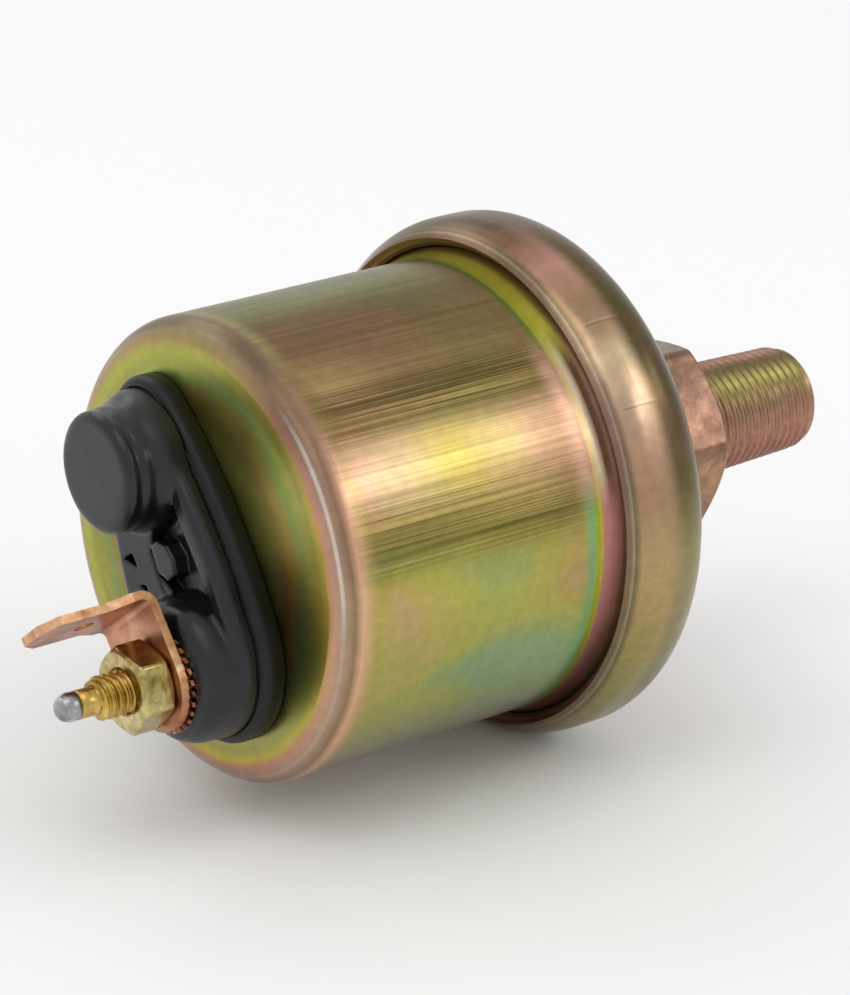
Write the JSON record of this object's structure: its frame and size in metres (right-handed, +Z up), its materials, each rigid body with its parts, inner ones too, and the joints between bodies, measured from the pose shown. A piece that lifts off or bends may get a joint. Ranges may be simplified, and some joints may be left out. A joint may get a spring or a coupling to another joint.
{
  "type": "oil pressure sender",
  "caption": "Resistive oil pressure sender: round crimped can with a hexagon and tapered pipe thread at one end, and a moulded cap with screw and blade terminal at the other.",
  "frame": {"origin": "on the axis, in the hexagon's face on the thread's side", "axes": "+X along the thread, out of its end; -X towards the terminals; +Z up as the sender lies in the picture"},
  "size_m": [0.0873, 0.0486, 0.0486],
  "materials": {
    "zinc_yellow": "yellow zinc passivate",
    "zinc_fitting": "rough yellow zinc passivate",
    "steel": "bright",
    "brass": "bright",
    "bronze": "bright",
    "copper": "dull",
    "solder": "dull",
    "winding": "fine wound wire",
    "seal": "matt",
    "insulation": "matt",
    "moulding": "semi-gloss"
  },
  "bodies": {
    "housing": {"hex_fitting": "zinc_fitting", "port_restrictor": "brass", "base_cup": "zinc_yellow", "diaphragm_seal": "seal", "diaphragm": "bronze", "carrier_plate": "steel", "housing_can": "zinc_yellow", "return_spring": "steel", "mechanism_frame": "steel", "frame_rivets": "steel", "pivot_pin": "steel", "resistor_former": "insulation", "resistance_winding": "winding", "resistor_holder": "insulation", "resistor_rivets": "brass", "terminal_stud": "brass", "solder_tip": "solder", "inner_insulator": "insulation", "lead_wire": "copper", "cap_seal": "seal", "terminal_cap": "moulding", "tooth_washer": "zinc_yellow", "blade_terminal": "copper", "terminal_nut": "zinc_yellow"},
    "plunger": {"push_rod": "steel"},
    "wiper": {"rocker_lever": "brass", "adjusting_screw": "brass", "wiper_arm": "bronze", "wiper_contact": "bronze"}
  },
  "joints": [
    {"name": "plunger_slide", "type": "slide", "parent": "housing", "child": "plunger", "axis": [-1, 0, 0], "range_m": [0, 0.0014], "stiffness_N_per_m": 4000, "deforming": ["diaphragm"]},
    {"name": "wiper_swing", "type": "hinge", "parent": "housing", "child": "wiper", "pos_m": [-0.0294, 0, -0.004], "axis": [0, -1, 0], "range_deg": [0, 21], "deforming": ["return_spring"]}
  ],
  "couplings": [
    {"joint": "wiper_swing", "follows": "plunger_slide", "rad_per_m": 250}
  ]
}
